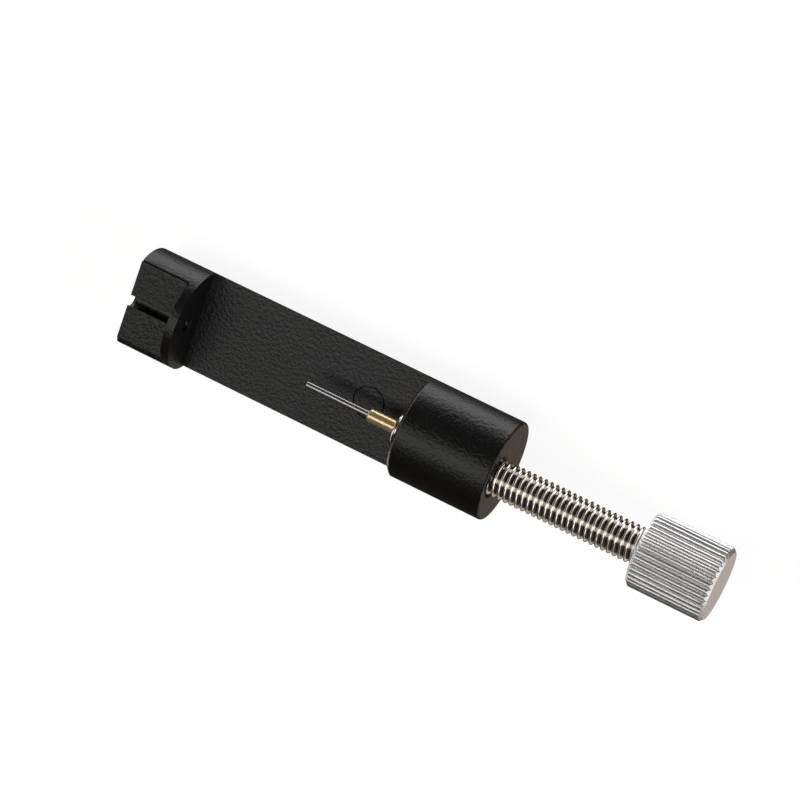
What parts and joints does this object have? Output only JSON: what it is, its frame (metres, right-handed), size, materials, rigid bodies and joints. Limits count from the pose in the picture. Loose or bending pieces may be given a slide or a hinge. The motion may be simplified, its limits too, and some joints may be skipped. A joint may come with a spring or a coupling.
{
  "type": "watch band link remover",
  "caption": "Hand tool that drives link pins out of a metal watch band: a round plastic cradle with an open saddle and a knurled screw that pushes a thin steel pin.",
  "frame": {"origin": "on the axis of the round cradle, at the shoulder where the solid head meets the open saddle", "axes": "+X along the tool towards the knob, +Z out of the open side of the saddle, +Y across the tool"},
  "size_m": [0.0844, 0.0136, 0.0144],
  "materials": {
    "black_plastic": "fine-grained satin black moulding",
    "nickel_steel": "bright nickel-plated thread",
    "silver_aluminium": "bright turned and knurled",
    "brass": "bright turned",
    "pin_steel": "polished hard wire"
  },
  "bodies": {
    "cradle": {"cradle_body": "black_plastic"},
    "pin_tip": {"pin_holder": "brass", "drive_pin": "pin_steel"},
    "spindle": {"threaded_spindle": "nickel_steel", "knob": "silver_aluminium"}
  },
  "joints": [
    {"name": "screw_feed", "type": "slide", "parent": "cradle", "child": "pin_tip", "axis": [-1, 0, 0], "range_m": [-0.008, 0.02]},
    {"name": "knob_turn", "type": "hinge", "parent": "pin_tip", "child": "spindle", "pos_m": [0, 0, 0.00265], "axis": [-1, 0, 0], "range_deg": [-3600.5, 9000.5]}
  ],
  "couplings": [
    {"joint": "knob_turn", "follows": "screw_feed", "rad_per_m": 7854}
  ]
}
